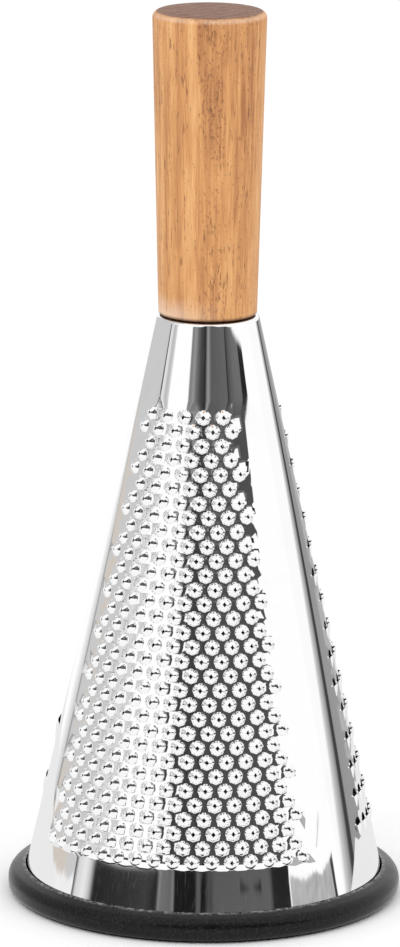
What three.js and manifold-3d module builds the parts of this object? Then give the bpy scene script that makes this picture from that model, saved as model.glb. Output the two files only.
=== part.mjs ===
// Cone grater: a rolled steel cone with a fine, a coarse and a slicing zone, a turned
// wooden handle screwed on from inside, and a rubber ring round the foot.
// Millimetres, +Z up. The origin is the middle of the footprint and the fine zone faces -Y.
import * as THREE from "three";
import { mergeVertices } from "three/addons/utils/BufferGeometryUtils.js";
import Module from "manifold-3d";

const wasm = await Module();
wasm.setup();

// clearance between pieces that touch, and how round things are drawn
const fit = 0.3;
const roundSides = 28;
const smallSides = 24;
const arcSteps = 2;
const weldGap = 1e-4;
const flatness = 0.005;

// foot ring, measured from the cone's lower edge that it holds
const ringOutside = 4.05;
const ringInside = 4.95;
const ringHeight = 7.8;
const ringFall = 20;
const ringEdgeRound = 3.2;
const ringFootRound = 2.6;
const ringFloor = 2.2;
const ringInnerHeight = 7;
const ringInnerRound = 1.2;

// rolled cone
const coneHeight = 162.7;
const coneFootRadius = 50.95;
const coneTopRadius = 14.2;
const wall = 0.6;
const shoulderRound = 1.2;
const flangeHoleClearance = 2.1;

// wooden handle
const handleLength = 84.5;
const handleSetback = 0.5;
const handleTopRadius = 15.65;
const handleTopRound = 2;
const handleFootRound = 0.8;

// screw, washer and clamp plate inside the cone
const screwLength = 42;
const screwRadius = 2.4;
const screwPointLength = 6;
const screwHeadRadius = 4.6;
const screwHeadHeight = 3;
const screwHeadRound = 1.4;
const recessSpan = 4.8;
const recessWidth = 1.1;
const recessDepth = 1.7;
const washerRadius = 7;
const washerThickness = 1.2;
const plateThickness = 1.5;

// fine zone: small three-cornered holes, staggered from row to row
const fine = {
  centre: -10.6,
  topMargin: 25.75,
  bottomMargin: 18.5,
  rowPitch: 3.943,
  toothPitch: 5.435,
  leftAngleTop: 47.9,
  leftAngleBottom: 54.4,
  rightAngleTop: 31.9,
  rightAngleBottom: 47.8,
  oddFirst: false,
};
const fineHoleRadius = 0.65;
const fineHoleCorners = 3;

// coarse zone: scoops that open upwards
const coarse = {
  centre: 97.5,
  topMargin: 27.5,
  bottomMargin: 21,
  rowPitch: 7.84,
  toothPitch: 5.12,
  leftAngleTop: 8.85,
  leftAngleBottom: 28.8,
  rightAngleTop: 31.5,
  rightAngleBottom: 51.5,
  oddFirst: true,
};
const scoopRadius = 1.75;
const scoopSides = 4;
const scoopSink = 0.35;
const scoopLength = 3.9;
const scoopMouth = 2.4;

// slicing zone: curved blades, one or two abreast
const slicer = {
  centre: -134.3,
  topMargin: 37.2,
  bottomMargin: 28.8,
  rowPitch: 16.7,
  halfAngle: 48,
};
const bladeWidth = 30;
const bladeGap = 6;
const bladeRise = 1.5;
const bladeLength = 6;
const bladeMouth = 2;

// how far scoops and blades reach past their mouths before they are trimmed,
// and how far a cut runs past the faces that it goes through
const trimLength = 0.15;
const mouthMargin = 0.04;
const cutPast = 1.2;

const degree = Math.PI / 180;

// sizes that follow from the pieces they meet
const ringOuterRadius = coneFootRadius + ringOutside;
const ringInnerRadius = coneFootRadius - ringInside;
const handleFootRadius = coneTopRadius - handleSetback;
const screwHoleRadius = screwRadius + fit;
const flangeHoleRadius = screwRadius + flangeHoleClearance;

// heights that stack up from the foot
const coneFootZ = ringFloor + fit;
const coneTopZ = coneFootZ + coneHeight;
const handleFootZ = coneTopZ + fit;
const plateTopZ = coneTopZ - wall - fit;
const washerTopZ = plateTopZ - plateThickness - fit;
const screwHeadTopZ = washerTopZ - washerThickness - fit;

// the cone's slope, and distances measured along it from its apex
const slope = Math.atan((coneFootRadius - coneTopRadius) / coneHeight);
const apexZ = coneFootZ + coneFootRadius / Math.tan(slope);
const topSlant = coneTopRadius / Math.sin(slope);
const footSlant = coneFootRadius / Math.sin(slope);
const wallAcross = wall / Math.cos(slope);
const fitAcross = fit / Math.cos(slope);

const coneRadiusAt = (z) => (apexZ - z) * Math.tan(slope);

// a point of the cone's section, at a slant distance and a height off its outer face
function sectionPoint(slant, height) {
  const r = slant * Math.sin(slope) + height * Math.cos(slope);
  const z = apexZ - slant * Math.cos(slope) + height * Math.sin(slope);
  return new THREE.Vector2(r, z);
}

// frame on the cone's outer face: x round it, y up the slope, z outwards
function spotFrame(angle, slant) {
  const turn = angle * degree;
  const round = new THREE.Vector3(Math.cos(turn), Math.sin(turn), 0);
  const outwards = new THREE.Vector3(Math.sin(turn), -Math.cos(turn), 0);
  outwards.multiplyScalar(Math.cos(slope)).setZ(Math.sin(slope));
  const up = new THREE.Vector3().crossVectors(outwards, round);
  const { x: radius, y: z } = sectionPoint(slant, 0);
  const frame = new THREE.Matrix4().makeBasis(round, up, outwards);
  return frame.setPosition(radius * Math.sin(turn), -radius * Math.cos(turn), z);
}

// solid of revolution about Z from a closed outline, or one that starts and ends on the axis
function turned(points, sides = roundSides) {
  return new THREE.LatheGeometry(points, sides).rotateX(Math.PI / 2);
}

function closed(points) {
  return [...points, points[0].clone()];
}

function toSolid(geometry) {
  const bare = geometry.clone();
  bare.deleteAttribute("normal");
  bare.deleteAttribute("uv");
  const merged = mergeVertices(bare, weldGap);
  const corners = merged.index.array;
  const triVerts = [];
  for (let i = 0; i < corners.length; i += 3) {
    const [a, b, c] = corners.slice(i, i + 3);
    if (a !== b && b !== c && c !== a) {
      triVerts.push(a, b, c);
    }
  }
  const vertProperties = merged.attributes.position.array;
  return new wasm.Manifold(
    new wasm.Mesh({ numProp: 3, vertProperties, triVerts: new Uint32Array(triVerts) }),
  );
}

// back to a geometry, with the flat faces that cutting split joined up again
function toGeometry(solid) {
  const { vertProperties, triVerts } = solid.asOriginal().simplify(flatness).getMesh();
  const geometry = new THREE.BufferGeometry();
  geometry.setAttribute("position", new THREE.Float32BufferAttribute(vertProperties, 3));
  geometry.setIndex(new THREE.BufferAttribute(triVerts, 1));
  geometry.computeVertexNormals();
  return geometry;
}

const joinAll = (solids) => solids.reduce((whole, solid) => whole.add(solid));

// places of a zone's teeth: rows on circles round the cone, each as full as the zone's
// slanting edges let it be, and shifted half a pitch from its neighbours
function zoneSpots(zone) {
  const first = topSlant + zone.topMargin;
  const last = footSlant - zone.bottomMargin;
  const rows = Math.floor((last - first) / zone.rowPitch) + 1;
  const bottom = first + (rows - 1) * zone.rowPitch;
  const arc = (slant, angle) => slant * Math.sin(slope) * angle * degree;
  const spots = [];
  for (let row = 0; row < rows; row += 1) {
    const slant = first + row * zone.rowPitch;
    const share = rows > 1 ? row / (rows - 1) : 0;
    const onCentre = (row % 2 === 0) === zone.oddFirst;
    const shift = onCentre ? 0 : 0.5;
    const reach = (angleTop, angleBottom) => {
      const room = THREE.MathUtils.lerp(arc(first, angleTop), arc(bottom, angleBottom), share);
      return Math.floor(room / zone.toothPitch - shift) + shift;
    };
    const right = reach(zone.rightAngleTop, zone.rightAngleBottom);
    for (let step = -reach(zone.leftAngleTop, zone.leftAngleBottom); step <= right; step += 1) {
      const turn = (step * zone.toothPitch) / (slant * Math.sin(slope));
      spots.push(spotFrame(zone.centre + turn / degree, slant));
    }
  }
  return spots;
}

// places of the slicing blades: as many abreast as the row has room for
function bladeSpots() {
  const first = topSlant + slicer.topMargin;
  const last = footSlant - slicer.bottomMargin;
  const rows = Math.floor((last - first) / slicer.rowPitch) + 1;
  const spots = [];
  for (let row = 0; row < rows; row += 1) {
    const slant = first + row * slicer.rowPitch;
    const radius = slant * Math.sin(slope);
    const room = 2 * radius * slicer.halfAngle * degree;
    const count = Math.max(1, Math.floor((room + bladeGap) / (bladeWidth + bladeGap)));
    for (let i = 0; i < count; i += 1) {
      const along = (i - (count - 1) / 2) * (bladeWidth + bladeGap);
      const angle = slicer.centre + along / radius / degree;
      const halfAngle = bladeWidth / 2 / radius / degree;
      spots.push({ slant, angle, halfAngle });
    }
  }
  return spots;
}

// wedge with its edge on the axis, which picks one blade's stretch out of a full ring
function wedge({ angle, halfAngle }) {
  const reach = 2 * coneFootRadius;
  const corner = (turn) => [reach * Math.sin(turn * degree), -reach * Math.cos(turn * degree)];
  const outline = new THREE.Shape();
  outline.moveTo(0, 0);
  outline.lineTo(...corner(angle - halfAngle));
  outline.lineTo(...corner(angle));
  outline.lineTo(...corner(angle + halfAngle));
  const options = { depth: coneTopZ, bevelEnabled: false };
  return toSolid(new THREE.ExtrudeGeometry(outline, options));
}

// raised strip that ends in the cutting edge, rooted in the wall
function bladeRing(slant) {
  return [
    sectionPoint(slant + bladeLength, -wall / 2),
    sectionPoint(slant + bladeLength, 0),
    sectionPoint(slant - trimLength, bladeRise),
    sectionPoint(slant - trimLength, -wall / 2),
  ];
}

// slot through the wall above that edge, whose lower side trims the edge straight
function slotRing(slant) {
  return [
    sectionPoint(slant, -wall - cutPast),
    sectionPoint(slant, bladeRise + cutPast),
    sectionPoint(slant - bladeMouth, bladeRise + cutPast),
    sectionPoint(slant - bladeMouth, -wall - cutPast),
  ];
}

// four-sided scoop lying down the slope, reaching a little past its mouth
function scoopShape() {
  const length = scoopLength + trimLength;
  return new THREE.ConeGeometry(scoopRadius, length, scoopSides)
    .rotateX(Math.PI)
    .translate(0, trimLength - length / 2, -scoopSink);
}

// three-cornered way through the wall, whose lower side trims the scoop's mouth
function scoopHole() {
  const halfWidth = (scoopRadius + mouthMargin) / (1 - trimLength / scoopMouth);
  const outline = new THREE.Shape();
  outline.moveTo(-halfWidth, 0);
  outline.lineTo(halfWidth, 0);
  outline.lineTo(0, scoopMouth);
  const depth = wall + scoopRadius + 2 * cutPast;
  return new THREE.ExtrudeGeometry(outline, { depth, bevelEnabled: false })
    .translate(0, 0, -wall - cutPast);
}

// straight way through the wall, whose outer face is at height 0
function wallHole(radius, corners) {
  return new THREE.CylinderGeometry(radius, radius, wall + 2 * cutPast, corners)
    .rotateX(Math.PI / 2)
    .translate(0, 0, -wall / 2);
}

// outline of the cone with its rounded shoulder, set in from the outer face by a wall or not
function coneOutline(inset) {
  const insetAcross = inset / Math.cos(slope);
  const top = coneTopZ - inset;
  const bend = shoulderRound - inset;
  const tangent = Math.tan((Math.PI / 2 - slope) / 2) * bend;
  const bendX = coneRadiusAt(top) - insetAcross - tangent;
  const outline = new THREE.Path();
  const foot = coneFootZ - inset;
  outline.moveTo(0, foot);
  outline.lineTo(coneRadiusAt(foot) - insetAcross, foot);
  outline.absarc(bendX, top - bend, bend, slope, Math.PI / 2, false);
  outline.lineTo(0, top);
  return outline.getPoints(arcSteps);
}

function coneGeometry() {
  const outer = toSolid(turned(coneOutline(0)));
  const inner = toSolid(turned(coneOutline(wall)));
  const blades = bladeSpots();
  const spots = { fine: zoneSpots(fine), coarse: zoneSpots(coarse) };
  const scoops = spots.coarse.map((spot) => toSolid(scoopShape().applyMatrix4(spot)));
  const strips = blades.map((blade) =>
    toSolid(turned(closed(bladeRing(blade.slant)))).intersect(wedge(blade)),
  );
  const slots = blades.map((blade) =>
    toSolid(turned(closed(slotRing(blade.slant)))).intersect(wedge(blade)),
  );
  const holes = [
    ...spots.fine.map((spot) =>
      toSolid(wallHole(fineHoleRadius, fineHoleCorners).applyMatrix4(spot)),
    ),
    ...spots.coarse.map((spot) => toSolid(scoopHole().applyMatrix4(spot))),
    ...slots,
  ];
  const flangeHole = toSolid(
    wallHole(flangeHoleRadius, smallSides).translate(0, 0, coneTopZ),
  );
  const body = outer.add(joinAll([...scoops, ...strips])).subtract(inner);
  return toGeometry(body.subtract(joinAll([...holes, flangeHole])));
}

// rubber ring with a top that falls outwards and a groove that takes the cone's lower edge
function ringGeometry() {
  const edge = ringOuterRadius - ringEdgeRound;
  const fall = ringFall * degree;
  const grooveOuter = (z) => coneRadiusAt(z) + fitAcross;
  const grooveInner = (z) => coneRadiusAt(z) - wallAcross - fitAcross;
  const lip = grooveOuter(ringHeight);
  const edgeTop = ringHeight - (edge - lip) * Math.tan(fall);
  const edgeCentre = [edge, edgeTop - ringEdgeRound / Math.cos(fall)];
  const innerCentre = [ringInnerRadius + ringInnerRound, ringInnerHeight - ringInnerRound];
  const footCentre = [ringOuterRadius - ringFootRound, ringFootRound];
  const outline = new THREE.Path();
  outline.moveTo(ringInnerRadius, 0);
  outline.lineTo(footCentre[0], 0);
  outline.absarc(...footCentre, ringFootRound, -Math.PI / 2, 0, false);
  outline.lineTo(ringOuterRadius, edgeCentre[1]);
  outline.absarc(...edgeCentre, ringEdgeRound, 0, Math.PI / 2 - fall, false);
  outline.lineTo(lip, ringHeight);
  outline.lineTo(grooveOuter(ringFloor), ringFloor);
  outline.lineTo(grooveInner(ringFloor), ringFloor);
  outline.lineTo(grooveInner(ringInnerHeight), ringInnerHeight);
  outline.lineTo(innerCentre[0], ringInnerHeight);
  outline.absarc(...innerCentre, ringInnerRound, Math.PI / 2, Math.PI, false);
  return turned(closed(outline.getPoints(arcSteps)));
}

// tapered grip with a rounded end and a blind hole for the screw
function handleGeometry() {
  const top = handleFootZ + handleLength;
  const holeTop = screwHeadTopZ + screwLength + fit;
  const lean = Math.atan((handleTopRadius - handleFootRadius) / handleLength);
  const footTangent = handleFootRound * Math.tan((Math.PI / 2 + lean) / 2);
  const topTangent = handleTopRound * Math.tan((Math.PI / 2 - lean) / 2);
  const outline = new THREE.Path();
  outline.moveTo(0, holeTop);
  outline.lineTo(screwHoleRadius, holeTop - screwPointLength);
  outline.lineTo(screwHoleRadius, handleFootZ);
  const footCentre = [handleFootRadius - footTangent, handleFootZ + handleFootRound];
  outline.lineTo(footCentre[0], handleFootZ);
  outline.absarc(...footCentre, handleFootRound, -Math.PI / 2, -lean, false);
  const topCentre = [handleTopRadius - topTangent, top - handleTopRound];
  outline.absarc(...topCentre, handleTopRound, -lean, Math.PI / 2, false);
  outline.lineTo(0, top);
  return turned(outline.getPoints(arcSteps));
}

// round-headed wood screw, driven upwards, with a cross recess in its head
function screwGeometry() {
  const bottom = screwHeadTopZ - screwHeadHeight;
  const tip = screwHeadTopZ + screwLength;
  const roundCentre = [screwHeadRadius - screwHeadRound, bottom + screwHeadRound];
  const outline = new THREE.Path();
  outline.moveTo(0, bottom);
  outline.lineTo(roundCentre[0], bottom);
  outline.absarc(...roundCentre, screwHeadRound, -Math.PI / 2, 0, false);
  outline.lineTo(screwHeadRadius, screwHeadTopZ);
  outline.lineTo(screwRadius, screwHeadTopZ);
  outline.lineTo(screwRadius, tip - screwPointLength);
  outline.lineTo(0, tip);
  const bar = new THREE.BoxGeometry(recessSpan, recessWidth, recessDepth + cutPast);
  bar.translate(0, 0, bottom + (recessDepth - cutPast) / 2);
  const cross = toSolid(bar).add(toSolid(bar.clone().rotateZ(Math.PI / 2)));
  const blank = toSolid(turned(outline.getPoints(arcSteps), smallSides));
  return toGeometry(blank.subtract(cross));
}

// flat disc with a round hole for the screw
function discGeometry(radius, thickness, topZ, sides) {
  const outline = [
    new THREE.Vector2(screwHoleRadius, topZ - thickness),
    new THREE.Vector2(radius, topZ - thickness),
    new THREE.Vector2(radius, topZ),
    new THREE.Vector2(screwHoleRadius, topZ),
  ];
  return turned(closed(outline), sides);
}

// the plate reaches to where the shoulder starts to bend
const plateRadius = coneRadiusAt(plateTopZ) - wallAcross - shoulderRound;

const steel = { color: 0xd4d6d8, roughness: 0.12, metalness: 1 };
const zinc = { color: 0xb4b6b3, roughness: 0.35, metalness: 1 };
const wood = { color: 0xa9683a, roughness: 0.55, metalness: 0 };
const rubber = { color: 0x17181a, roughness: 0.6, metalness: 0 };

const grater = new THREE.Group();

function addPiece(name, geometry, finish) {
  const piece = new THREE.Mesh(geometry, new THREE.MeshStandardMaterial(finish));
  piece.name = name;
  grater.add(piece);
}

addPiece("grater_cone", coneGeometry(), steel);
addPiece("handle", handleGeometry(), wood);
addPiece("base_ring", ringGeometry(), rubber);
addPiece("clamp_plate", discGeometry(plateRadius, plateThickness, plateTopZ, roundSides), steel);
addPiece("screw_washer", discGeometry(washerRadius, washerThickness, washerTopZ, smallSides), zinc);
addPiece("handle_screw", screwGeometry(), zinc);

export default grater;
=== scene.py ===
import math

import bpy
import numpy as np
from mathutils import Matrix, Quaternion, Vector
from mathutils.geometry import delaunay_2d_cdt


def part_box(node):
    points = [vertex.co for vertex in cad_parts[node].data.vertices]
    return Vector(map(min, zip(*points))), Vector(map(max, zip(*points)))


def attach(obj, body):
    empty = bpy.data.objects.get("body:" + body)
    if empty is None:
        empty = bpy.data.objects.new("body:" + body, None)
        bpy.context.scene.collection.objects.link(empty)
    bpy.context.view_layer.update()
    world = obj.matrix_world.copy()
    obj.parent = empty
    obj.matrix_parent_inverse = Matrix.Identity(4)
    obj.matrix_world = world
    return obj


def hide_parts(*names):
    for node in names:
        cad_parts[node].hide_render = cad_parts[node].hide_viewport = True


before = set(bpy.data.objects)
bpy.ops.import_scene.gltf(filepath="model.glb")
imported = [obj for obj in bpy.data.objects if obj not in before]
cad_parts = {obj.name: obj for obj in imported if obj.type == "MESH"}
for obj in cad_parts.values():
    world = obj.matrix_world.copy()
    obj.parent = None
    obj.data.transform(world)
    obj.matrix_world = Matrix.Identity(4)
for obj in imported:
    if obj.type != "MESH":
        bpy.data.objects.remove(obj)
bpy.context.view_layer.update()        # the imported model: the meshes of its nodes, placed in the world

mm = 0.001
degree = math.pi / 180
scene = bpy.context.scene
scene.view_settings.view_transform = "Standard"

# camera of the photograph
photoView = {
    "place": (0.0, -1.8, 0.53669),
    "aim": (-0.00181, 0.0, 0.11988),
    "roll": 0.00689,
    "lens": 252.66,
    "sensor": 36.0,
}


def clearSelection():
    if bpy.context.object and bpy.context.object.mode != "OBJECT":
        bpy.ops.object.mode_set(mode="OBJECT")
    bpy.ops.object.select_all(action="DESELECT")


def addCamera():
    clearSelection()
    bpy.ops.object.camera_add(location=photoView["place"])
    camera = bpy.context.object
    camera.name = "photoCamera"
    look = Vector(photoView["aim"]) - Vector(photoView["place"])
    camera.rotation_mode = "QUATERNION"
    level = look.to_track_quat("-Z", "Y")
    camera.rotation_quaternion = level @ Quaternion((0, 0, 1), photoView["roll"])
    camera.data.lens = photoView["lens"]
    camera.data.sensor_width = photoView["sensor"]
    camera.data.clip_end = 50
    scene.camera = camera
    print("camera in place")


# node helpers
def feed(tree, socket, value):
    if isinstance(value, bpy.types.NodeSocket):
        tree.links.new(value, socket)
    else:
        socket.default_value = value


def addNode(tree, kind, settings=None, **inputs):
    made = tree.nodes.new(kind)
    for name, value in (settings or {}).items():
        setattr(made, name, value)
    for name, value in inputs.items():
        feed(tree, made.inputs[name], value)
    return made


def sumUp(tree, operation, first, second=0.0, clamp=False):
    made = tree.nodes.new("ShaderNodeMath")
    made.operation = operation
    made.use_clamp = clamp
    feed(tree, made.inputs[0], first)
    feed(tree, made.inputs[1], second)
    return made.outputs[0]


def times(tree, first, second):
    return sumUp(tree, "MULTIPLY", first, second)


def plus(tree, first, second, clamp=False):
    return sumUp(tree, "ADD", first, second, clamp)


def minus(tree, first, second):
    return sumUp(tree, "SUBTRACT", first, second)


def larger(tree, first, second):
    return sumUp(tree, "MAXIMUM", first, second)


def weighted(tree, pairs):
    total = 0.0
    for value, weight in pairs:
        total = plus(tree, times(tree, value, weight), total)
    return total


# maps a stretch of a value to another, 0 to 1 if none is given, and holds its ends
def spread(tree, value, low, high, toLow=0.0, toHigh=1.0):
    made = tree.nodes.new("ShaderNodeMapRange")
    made.clamp = True
    feed(tree, made.inputs["Value"], value)
    feed(tree, made.inputs["From Min"], low)
    feed(tree, made.inputs["From Max"], high)
    feed(tree, made.inputs["To Min"], toLow)
    feed(tree, made.inputs["To Max"], toHigh)
    return made.outputs[0]


def between(tree, value, low, high, soft):
    rise = spread(tree, value, low - soft, low + soft)
    fall = spread(tree, value, high - soft, high + soft, 1.0, 0.0)
    return times(tree, rise, fall)


def mixColour(tree, share, first, second, blend="MIX"):
    made = tree.nodes.new("ShaderNodeMix")
    made.data_type = "RGBA"
    made.blend_type = blend
    feed(tree, made.inputs[0], share)
    feed(tree, made.inputs[6], first)
    feed(tree, made.inputs[7], second)
    return made.outputs[2]


def ramp(tree, value, stops):
    made = tree.nodes.new("ShaderNodeValToRGB")
    elements = made.color_ramp.elements
    while len(elements) < len(stops):
        elements.new(0.5)
    for element, (place, colour) in zip(elements, stops):
        element.position = place
    for element, (place, colour) in zip(elements, stops):
        element.color = colour
    feed(tree, made.inputs[0], value)
    return made.outputs[0]


def grey(level):
    return (level, level, level, 1.0)


# greys along a stretch of a value, from a list of places and levels
def bandsAcross(tree, value, low, high, bands):
    stops = [((place - low) / (high - low), grey(level)) for place, level in bands]
    return ramp(tree, spread(tree, value, low, high), stops)


def stretched(tree, vector, scale):
    made = tree.nodes.new("ShaderNodeMapping")
    feed(tree, made.inputs["Vector"], vector)
    made.inputs["Scale"].default_value = scale
    return made.outputs[0]


def noise(tree, vector, scale, detail=2.0, rough=0.5, warp=0.0):
    made = tree.nodes.new("ShaderNodeTexNoise")
    feed(tree, made.inputs["Vector"], vector)
    made.inputs["Scale"].default_value = scale
    made.inputs["Detail"].default_value = detail
    made.inputs["Roughness"].default_value = rough
    made.inputs["Distortion"].default_value = warp
    return made.outputs[0]


# degrees round the upright axis from the camera's side, growing to the right
def turnFromCamera(tree, axes):
    towardFront = times(tree, axes.outputs["Y"], -1.0)
    turn = sumUp(tree, "ARCTAN2", axes.outputs["X"], towardFront)
    return times(tree, turn, 1 / degree)


# world: plain white light, and for polished steel a horizon low on the right
lightTent = {
    "plainLight": 1.0,
    "horizonFrom": 99.0,
    "horizonSpan": (-12.0, 2.0),
    # degrees above the level, and how bright there
    "horizon": [
        (-12.0, 0.95), (-10.0, 0.70), (-9.2, 0.46), (-6.8, 0.46), (-6.2, 0.33), (-3.7, 0.31),
        (-3.4, 0.05), (-2.7, 0.06), (-2.4, 0.27), (-1.2, 0.62), (-0.7, 1.0),
    ],
}


def addWorld():
    world = bpy.data.worlds.new("softStudio")
    scene.world = world
    world.use_nodes = True
    tree = world.node_tree
    tree.nodes.clear()
    toward = addNode(tree, "ShaderNodeTexCoord").outputs["Generated"]
    axes = addNode(tree, "ShaderNodeSeparateXYZ", Vector=toward)
    turn = turnFromCamera(tree, axes)
    height = times(tree, sumUp(tree, "ARCSINE", axes.outputs["Z"]), 1 / degree)
    horizon = bandsAcross(tree, height, *lightTent["horizonSpan"], lightTent["horizon"])
    start = lightTent["horizonFrom"]
    tent = mixColour(tree, spread(tree, turn, start - 0.5, start + 0.5), grey(1.0), horizon)
    path = addNode(tree, "ShaderNodeLightPath")
    light = mixColour(tree, path.outputs["Is Glossy Ray"], grey(lightTent["plainLight"]), tent)
    light = mixColour(tree, path.outputs["Is Camera Ray"], light, grey(1.0))
    background = addNode(tree, "ShaderNodeBackground", Color=light, Strength=1.0)
    output = addNode(tree, "ShaderNodeOutputWorld")
    tree.links.new(background.outputs[0], output.inputs["Surface"])
    print("studio world made")


# glowing drum of painted cards round the grater, which only polished steel shows: all its colour is
# painted reflection
mirrorDrum = {
    "radius": 0.8,
    "from": -155.0,
    "to": 99.0,
    "low": -0.2,
    "high": 1.7,
    "steps": 96,
    "brightness": 1.03,
    "wobble": 2.4,           # degrees
    "raggedness": 0.014,
    # heights that the cone's foot and neck mirror to the camera: a cosine's pace, swing and middle
    "footLine": (0.8, 0.143, 0.0),
    "neckLine": (0.733, 0.17, 0.15),
    "footSoft": (-0.006, 0.0),
    "neckSoft": (-0.004, 0.006),
    # degrees to the right of the camera, and how bright there, as the neck shows it
    "neck": [
        (-86.2, 0.58), (-85.8, 0.06), (-84.4, 0.06), (-84.0, 0.80), (-79.0, 0.72), (-75.0, 0.46),
        (-69.0, 0.62), (-66.5, 1.0), (-33.0, 1.0), (-31.0, 0.22), (-28.0, 0.22), (-24.0, 0.30),
        (-20.0, 0.17), (-12.0, 0.06), (-2.2, 0.02), (-1.2, 0.16), (2.0, 0.30), (5.5, 0.14), (8.0, 0.10),
        (35.4, 0.13), (35.8, 0.012), (37.0, 0.012), (37.4, 0.07), (48.0, 0.14), (61.0, 0.155),
        (66.0, 0.05), (100.0, 0.02),
    ],
    # the same for the zone of the teeth
    "teeth": [
        (-90.8, 0.58), (-90.4, 0.12), (-89.2, 0.12), (-88.8, 0.75), (-70.0, 0.62), (-66.0, 1.0),
        (-28.0, 1.0), (-26.0, 0.10), (-22.0, 0.055), (-12.0, 0.04), (-2.0, 0.06), (8.0, 0.07),
        (40.0, 0.07), (56.0, 0.075), (100.0, 0.075),
    ],
    # and for the foot
    "foot": [
        (-92.0, 0.60), (-91.6, 0.03), (-90.2, 0.03), (-89.8, 0.62), (-82.0, 0.82), (-77.0, 0.50),
        (-75.4, 0.06), (-73.0, 0.02), (-50.0, 0.03), (-36.0, 0.045), (-29.6, 0.012), (-29.0, 0.30),
        (-27.6, 0.16), (-20.5, 0.13), (-20.0, 0.25), (-18.6, 0.012), (-5.0, 0.010), (-4.2, 0.10),
        (-2.8, 0.10), (-2.0, 0.010), (1.0, 0.010), (2.2, 0.08), (4.0, 0.05), (7.0, 0.10), (43.0, 0.11),
        (44.6, 0.02), (100.0, 0.012),
    ],
    # name, radius, height and brightness of the glowing sheets under the grater, which only polished steel
    # shows: a white one where the floor is mirrored, and a dark one that is painted shade under the cone
    "sheets": [("whiteSheet", 0.30, -0.001, 0.97), ("paintedShadeSheet", 0.054, -0.0005, 0.012)],
    # painted shade on the sheets' sides: turns where it begins and ends, and the glow in front and at the
    # sides
    "sheetSideShade": (90.0, 105.0, 1.0, 0.87),
}
# turns in degrees, heights in metres; a slanted line is a turn, its height there and its rise a degree
darkCard = {
    "edgeHeights": (0.09, 0.18),
    "edgeTurns": (56.0, 61.5),
    "edgeAtNeck": 11.0,
    "rim": (-10.0, 0.5),
    "rimLevel": 0.018,
    "corner": (52.5, 0.318, -0.002),
    "cornerFrom": (44.0, 46.0),
    "rightTopTurns": (15.0, 25.0),
    "rightTop": (1.35, 0.67),
    "leftTopTurns": (-14.0, -6.0),
    "leftTop": (0.60, 1.35),
    "underFoot": (-0.034, -0.030),
    "underFootFrom": (-86.0, -84.0),
}
leftPanel = {
    "grey": (0.585, 0.585, 0.59, 1),
    "beige": (0.63, 0.575, 0.515, 1),
    "floorLevel": 0.86,
    "edge": (-92.0, -91.6),
    "lowerEdge": (-126.0, -0.057, 0.00236),
    "lowerSoft": 0.0015,
    "warmTurns": (-150.0, -110.0),
    "warmHeights": (0.050, 0.092),
    "hem": (-0.01, 0.034),
    "hemEnds": (0.012, 0.002),
    "farHeights": (0.055, 0.110),
    "farTurns": (-132.0, -156.0),
    "beyondLevel": 0.62,
    "brightens": (1.0, 17.0),
    "rule": (-1.6, 1.2),
    "ruleLevel": 0.36,
}
rightPatch = {
    "turns": (57.0, 93.0),
    "topEdge": (58.0, 0.089, -0.00168),
    "greys": (0.36, 0.52),
    "rim": (91.0, 93.0),
    "rimLevel": 0.05,
    "cloudTurns": (78.5, 88.5),
    "cloudHeights": (0.056, 0.064),
}
wedges = {"line": (30.2, 0.1178, -0.00084), "opening": 0.0004, "ends": (6.6, 7.2), "level": 0.02}


class DrumPaint:
    # places on the drum and its colour so far, which each painted thing reads and adds to
    def __init__(self, tree):
        self.tree = tree
        self.place = addNode(tree, "ShaderNodeTexCoord").outputs["Object"]
        axes = addNode(tree, "ShaderNodeSeparateXYZ", Vector=self.place)
        self.height = axes.outputs["Z"]
        self.trueTurn = turnFromCamera(tree, axes)
        wobble = minus(tree, noise(tree, self.place, 16.0, 3.0), 0.5)
        self.turn = plus(tree, self.trueTurn, times(tree, wobble, mirrorDrum["wobble"]))
        ragged = minus(tree, noise(tree, self.place, 10.0), 0.5)
        self.ragged = times(tree, ragged, mirrorDrum["raggedness"])
        self.aboveFoot = minus(tree, self.height, self.mirroredLine("footLine"))
        self.aboveNeck = minus(tree, self.height, self.mirroredLine("neckLine"))
        self.colour = grey(0.0)

    def mirroredLine(self, name):
        pace, swing, middle = mirrorDrum[name]
        radians = times(self.tree, self.trueTurn, degree)
        wave = sumUp(self.tree, "COSINE", times(self.tree, radians, pace))
        return plus(self.tree, times(self.tree, wave, swing), middle)

    def line(self, across, up, slant):
        return plus(self.tree, times(self.tree, minus(self.tree, self.turn, across), slant), up)

    def above(self, limit, soft):
        return spread(self.tree, minus(self.tree, self.height, limit), -soft, soft)

    def paint(self, mask, colour):
        self.colour = mixColour(self.tree, mask, self.colour, colour)


def paintBands(drum):
    tree = drum.tree
    zones = [mirrorDrum[name] for name in ("foot", "teeth", "neck")]
    foot, teeth, neck = (bandsAcross(tree, drum.turn, -180.0, 180.0, zone) for zone in zones)
    drum.colour = foot
    drum.paint(spread(tree, drum.aboveFoot, *mirrorDrum["footSoft"]), teeth)
    drum.paint(spread(tree, drum.aboveNeck, *mirrorDrum["neckSoft"]), neck)
    # painted glints: specks in the mirrored cards stand in for dust and fine scratches on the steel, and
    # show up against the dark
    speckles = spread(tree, noise(tree, drum.place, 150.0), 0.62, 0.78, 0.0, 0.10)
    drum.colour = mixColour(tree, 1.0, drum.colour, speckles, "ADD")


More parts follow.
